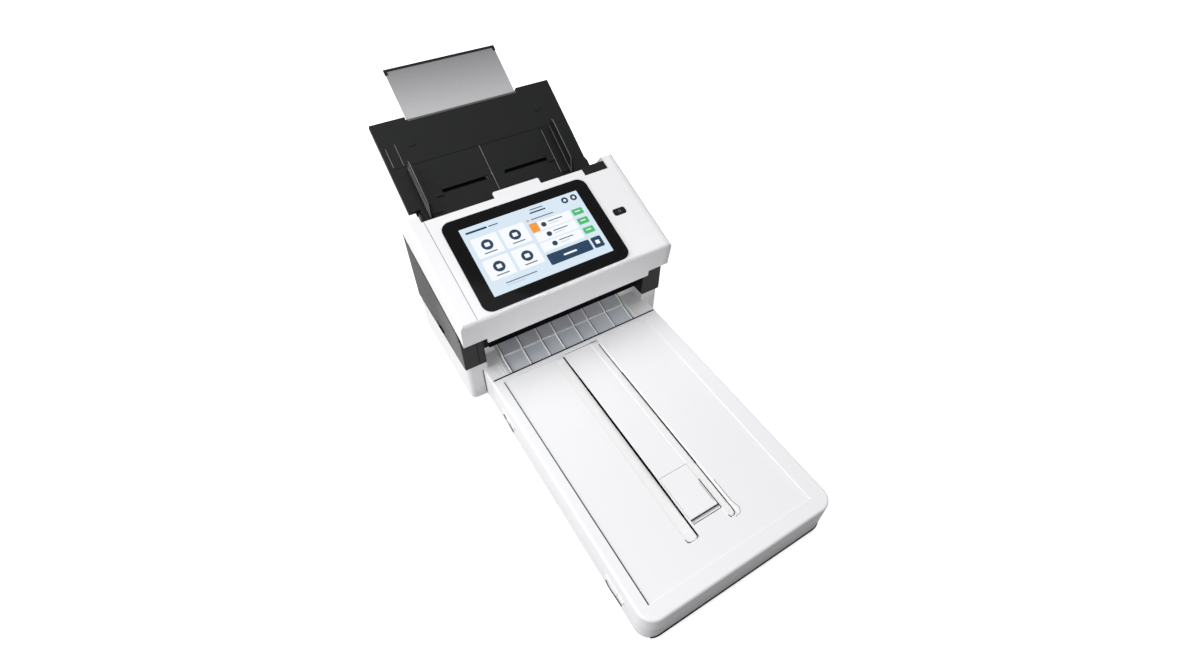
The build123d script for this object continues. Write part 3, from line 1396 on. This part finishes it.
carriage_low = behind(CARRIAGE_HOME) - CARRIAGE_WIDTH / 2
carriage_high = behind(CARRIAGE_HOME) + CARRIAGE_WIDTH / 2
carriage_bottom = rail_top + SOFT_GAP
carriage_top = frame_bottom - 0.6
carriage_left = rail_x - 3.0
carriage_boss = 5.0
boss_overlap = 0.5
clamp_inset = 8.0
clamp_wall = 1.8
clamp_drop = 2.0
belt_run = CARRIAGE_BELT_X - CARRIAGE_PULLEY_RADIUS - SOFT_GAP - BELT_THICKNESS
belt_low = ROD_HEIGHT - CARRIAGE_BELT_WIDTH / 2
with BuildPart() as scan_carriage:
    block(
        carriage_left, ROD_X - carriage_boss + boss_overlap, carriage_low, carriage_high,
        carriage_bottom, carriage_top,
    )
    block(
        ROD_X - carriage_boss, ROD_X + carriage_boss, carriage_low, carriage_high,
        carriage_bottom, ROD_HEIGHT + carriage_boss,
    )
    rod_y(
        (ROD_X, ROD_HEIGHT), ROD_RADIUS + RUNNING_GAP, carriage_low, carriage_high,
        mode=Mode.SUBTRACT,
    )
    block(
        ROD_X + carriage_boss - boss_overlap, belt_run + BELT_THICKNESS + clamp_wall,
        carriage_low + clamp_inset, carriage_high - clamp_inset, belt_low - clamp_drop,
        belt_low + CARRIAGE_BELT_WIDTH + SOFT_GAP,
    )
    block(
        belt_run - SOFT_GAP, belt_run + BELT_THICKNESS + SOFT_GAP, carriage_low, carriage_high,
        belt_low - SOFT_GAP, BASE_TOP, mode=Mode.SUBTRACT,
    )
save(scan_carriage, "scan_carriage")

pulley_inset = 14.0
front_pulley_y = behind(pulley_inset - LID_LENGTH)
rear_pulley_y = behind(pulley_inset)
with BuildPart() as carriage_belt:
    with BuildSketch(Plane.XY.offset(belt_low)):
        with Locations((CARRIAGE_BELT_X, (front_pulley_y + rear_pulley_y) / 2)):
            SlotCenterToCenter(
                rear_pulley_y - front_pulley_y,
                2 * (CARRIAGE_PULLEY_RADIUS + SOFT_GAP + BELT_THICKNESS), rotation=90,
            )
            SlotCenterToCenter(
                rear_pulley_y - front_pulley_y, 2 * (CARRIAGE_PULLEY_RADIUS + SOFT_GAP),
                rotation=90, mode=Mode.SUBTRACT,
            )
    extrude(amount=CARRIAGE_BELT_WIDTH)
save(carriage_belt, "carriage_belt")

motor_bottom = BASE_TOP - 5.0
pulley_pin_radius = 2.0
for pulley_name, place, pulley_pin_top in (
    ("carriage_drive_pulley", rear_pulley_y, motor_bottom - SOFT_GAP),
    ("carriage_idler_pulley", front_pulley_y, belt_low + CARRIAGE_BELT_WIDTH),
):
    with BuildPart() as pulley:
        post(
            (CARRIAGE_BELT_X, place), CARRIAGE_PULLEY_RADIUS, belt_low,
            belt_low + CARRIAGE_BELT_WIDTH,
        )
        post(
            (CARRIAGE_BELT_X, place), pulley_pin_radius, base_floor + SOFT_GAP, pulley_pin_top,
        )
    save(pulley, pulley_name)

deck_wall = 2.5
ramp_base = RIM_HEIGHT - 5.0
can_radius = 9.5
can_inset = 5.0
can_headroom = 2.0
flange_left = 16.0
flange_right = 8.5
flange_thickness = 2.0
with BuildPart() as carriage_motor:
    post(
        (CARRIAGE_BELT_X - can_inset, rear_pulley_y), can_radius, motor_bottom,
        ramp_base - deck_wall - can_headroom,
    )
    block(
        CARRIAGE_BELT_X - flange_left, CARRIAGE_BELT_X + flange_right,
        rear_pulley_y - can_radius, rear_pulley_y + can_radius, motor_bottom,
        motor_bottom + flange_thickness,
    )
save(carriage_motor, "carriage_motor")

# The rear deck behind the lid, lowered in the middle for the exit ramp
deck_front = behind(SEAM_GAP)
rim_round = 3.0
with BuildPart() as rear_deck:
    block(-half_flatbed, half_flatbed, deck_front, deck_rear, BASE_TOP, RIM_HEIGHT)
    fillet(rear_deck.edges().filter_by(Axis.Y).group_by(Axis.Z)[-1], radius=rim_round)
    block(
        -half_flatbed + deck_wall, half_flatbed - deck_wall, deck_front + deck_wall,
        deck_rear - deck_wall, BASE_TOP, ramp_base - deck_wall, mode=Mode.SUBTRACT,
    )
    block(
        RAMP_LEFT - PART_GAP, RAMP_RIGHT + PART_GAP, deck_front, deck_rear, ramp_base,
        RIM_HEIGHT, mode=Mode.SUBTRACT,
    )
save(rear_deck, "rear_deck")

# The exit ramp: two ribbed slopes that carry sheets from the exit down to the lid
ramp_front = deck_front + PART_GAP
rear_level = RIM_HEIGHT + 11.0
step_level = RIM_HEIGHT + 5.0
foot_level = RIM_HEIGHT + 2.5
front_level = RIM_HEIGHT - 2.0
ramp_points = [
    (ramp_front, ramp_base),
    (deck_rear, ramp_base),
    (deck_rear, ramp_floor),
    (ramp_end, ramp_floor),
    (ramp_end, rear_level),
    (behind(RAMP_STEP), step_level),
    (behind(RAMP_STEP), foot_level),
    (ramp_front, front_level),
]
rib_points = [
    (ramp_front, front_level - 1),
    (ramp_end, step_level),
    (ramp_end, rear_level + RIB_HEIGHT),
    (behind(RAMP_STEP), step_level + RIB_HEIGHT),
    (behind(RAMP_STEP), foot_level + RIB_HEIGHT),
    (ramp_front, RIM_HEIGHT),
]
ramp_middle = (RAMP_LEFT + RAMP_RIGHT) / 2
end_rib = (RAMP_RIGHT - RAMP_LEFT) / 2 - END_RIB_INSET
with BuildPart() as exit_ramp:
    outline(ramp_points, RAMP_LEFT, RAMP_RIGHT)
    for offset_x in (*RIB_OFFSETS, end_rib):
        for side in (-1, 1):
            rib_x = ramp_middle + side * offset_x
            outline(rib_points, rib_x - RIB_WIDTH / 2, rib_x + RIB_WIDTH / 2)
save(exit_ramp, "exit_ramp")

# The lid of the flatbed, which is also the output tray
lid_rear = behind(0)
lid_under = RIM_HEIGHT - LID_SKIN
recess_floor = RIM_HEIGHT - RECESS_DEPTH
groove_floor = recess_floor - GROOVE_DEPTH
channel_floor = groove_floor - LID_SKIN
channel_end = 1.0
flap_pin_height = recess_floor - FLAP_THICKNESS / 2
flap_pin_reach = 1.5
flap_pin_play = 0.1
flap_hinge = (behind(FLAP_FRONT) + FLAP_THICKNESS / 2, flap_pin_height)


def across(points, y_low, y_high, mode=Mode.ADD):
    """A closed outline of (x, z) points, drawn out along Y between two places."""
    with BuildSketch(Plane.XZ.offset(-y_low)) as profile:
        with BuildLine():
            Polyline(*points, close=True)
        make_face()
    extrude(to_extrude=profile.sketch, amount=y_low - y_high, mode=mode)


left_far, left_near, left_wall = LEFT_GROOVE
right_far, right_near, right_wall = RIGHT_GROOVE
left_groove = [
    (left_far, recess_floor), (left_near, groove_floor), (left_wall, groove_floor),
    (left_wall, RIM_HEIGHT), (left_far, RIM_HEIGHT),
]
right_groove = [
    (right_far, recess_floor), (right_near, groove_floor), (right_wall, recess_floor),
    (right_wall, RIM_HEIGHT), (right_far, RIM_HEIGHT),
]
with BuildPart() as lid_shell:
    flatbed_slab(0, LID_BOTTOM, RIM_HEIGHT, lid_rear)
    top_edges = lid_shell.faces().sort_by(Axis.Z)[-1].edges().sort_by(Axis.Y)
    fillet(top_edges[:-1], radius=rim_round)
    flatbed_slab(SHELL_WALL, LID_BOTTOM, lid_under, lid_rear - SHELL_WALL, mode=Mode.SUBTRACT)
    block(
        left_far - SHELL_WALL, right_wall + SHELL_WALL, behind(GROOVE_FRONT) - SHELL_WALL,
        lid_rear - channel_end, channel_floor, lid_under,
    )
    block(
        RECESS_LEFT, RECESS_RIGHT, behind(RECESS_FRONT), behind(-RECESS_REAR_MARGIN), recess_floor,
        RIM_HEIGHT, mode=Mode.SUBTRACT,
    )
    for x_low, front, level in (
        (RECESS_LEFT, RECESS_FRONT, recess_floor),
        (left_wall - SLIT_WIDTH, GROOVE_FRONT, groove_floor),
    ):
        block(
            x_low, x_low + SLIT_WIDTH, behind(front), behind(-RECESS_REAR_MARGIN),
            level - SLIT_DEPTH, level + 1, mode=Mode.SUBTRACT,
        )
    across(left_groove, behind(GROOVE_FRONT), behind(-GROOVE_REAR_MARGIN), mode=Mode.SUBTRACT)
    across(right_groove, behind(GROOVE_FRONT), behind(-GROOVE_REAR_MARGIN), mode=Mode.SUBTRACT)
    block(
        FLAP_LEFT - PART_GAP, FLAP_RIGHT + PART_GAP, behind(FLAP_FRONT) - FLAP_FINGER_GAP,
        behind(FLAP_REAR) + PART_GAP, recess_floor - FLAP_THICKNESS - PART_GAP, recess_floor,
        mode=Mode.SUBTRACT,
    )
    rod_x(
        flap_hinge, FLAP_PIN_RADIUS + RUNNING_GAP, FLAP_LEFT - flap_pin_reach - flap_pin_play,
        FLAP_RIGHT + flap_pin_reach + flap_pin_play, mode=Mode.SUBTRACT,
    )
    for place in LID_HINGE_PLACES:
        middle_low = behind(place) - KNUCKLE_LENGTH / 2
        middle_high = behind(place) + KNUCKLE_LENGTH / 2
        for low, high in (
            (behind(place) - knuckle_span / 2, middle_low),
            (middle_high, behind(place) + knuckle_span / 2),
        ):
            rod_y(lid_hinge, KNUCKLE_RADIUS, low, high)
            rod_y(lid_hinge, KNUCKLE_PIN_RADIUS + RUNNING_GAP, low, high, mode=Mode.SUBTRACT)
        rod_y(lid_hinge, knuckle_room, middle_low, middle_high, mode=Mode.SUBTRACT)
        block(
            LID_HINGE_X - knuckle_room, LID_HINGE_X + knuckle_room, middle_low, middle_high,
            LID_BOTTOM, LID_HINGE_HEIGHT, mode=Mode.SUBTRACT,
        )
save(lid_shell, "lid_shell")

# The paper stop lifts out of its pocket between the grooves
with BuildPart() as stop_flap:
    block(
        FLAP_LEFT, FLAP_RIGHT, flap_hinge[0], behind(FLAP_REAR), recess_floor - FLAP_THICKNESS,
        recess_floor,
    )
    rod_x(flap_hinge, FLAP_THICKNESS / 2, FLAP_LEFT, FLAP_RIGHT)
    rod_x(
        flap_hinge, FLAP_PIN_RADIUS, FLAP_LEFT - flap_pin_reach, FLAP_RIGHT + flap_pin_reach,
    )
save(stop_flap, "stop_flap")

# The lid's inner plate on its two ribs, and the white mat that presses on the glass
mat_bottom = BASE_TOP + MAT_GAP
mat_top = mat_bottom + MAT_THICKNESS
liner_thickness = 2.0
liner_inset = 5.0
liner_rib_half = 1.5
liner_rib_inset = 9.0
liner_rib_margin = 26.0
liner_rear_gap = 1.0
mat_margin = 2.0
mat_corner = 4.0
with BuildPart() as lid_liner:
    flatbed_slab(
        SHELL_WALL + liner_inset, mat_top, mat_top + liner_thickness,
        lid_rear - SHELL_WALL - liner_rear_gap,
    )
    for x in (left_wall - liner_rib_inset, right_wall - liner_rib_inset):
        block(
            x - liner_rib_half, x + liner_rib_half, behind(GROOVE_FRONT) + liner_rib_margin,
            lid_rear - liner_rib_margin, mat_top + liner_thickness, channel_floor,
        )
save(lid_liner, "lid_liner")

with BuildPart() as document_mat:
    rounded_slab(
        Plane.XY.offset(mat_bottom), (GLASS_X, (glass_front + glass_rear) / 2),
        GLASS_WIDTH + 2 * mat_margin, GLASS_LENGTH + 2 * mat_margin, mat_corner, MAT_THICKNESS,
    )
save(document_mat, "document_mat")

print("whole depth", round(LID_LENGTH + rear_reach, 2), "seam at y", round(seam_y, 3))
for name, value in (
    ("cover hinge", hinge_centre), ("tray pivot", tray_pivot), ("feed", feed_centre),
    ("transport", transport_centre), ("exit", exit_centre), ("motor", motor_centre),
    ("transport pinch", transport_pinch), ("exit pinch", exit_pinch),
    ("separation", separation_centre), ("flap hinge", flap_hinge),
    ("pinion", path_point(SLOT_UP, gear_floor)), ("rear pulley", (CARRIAGE_BELT_X, rear_pulley_y)),
    ("front pulley", (CARRIAGE_BELT_X, front_pulley_y)),
):
    print(name, [round(number, 3) for number in value])
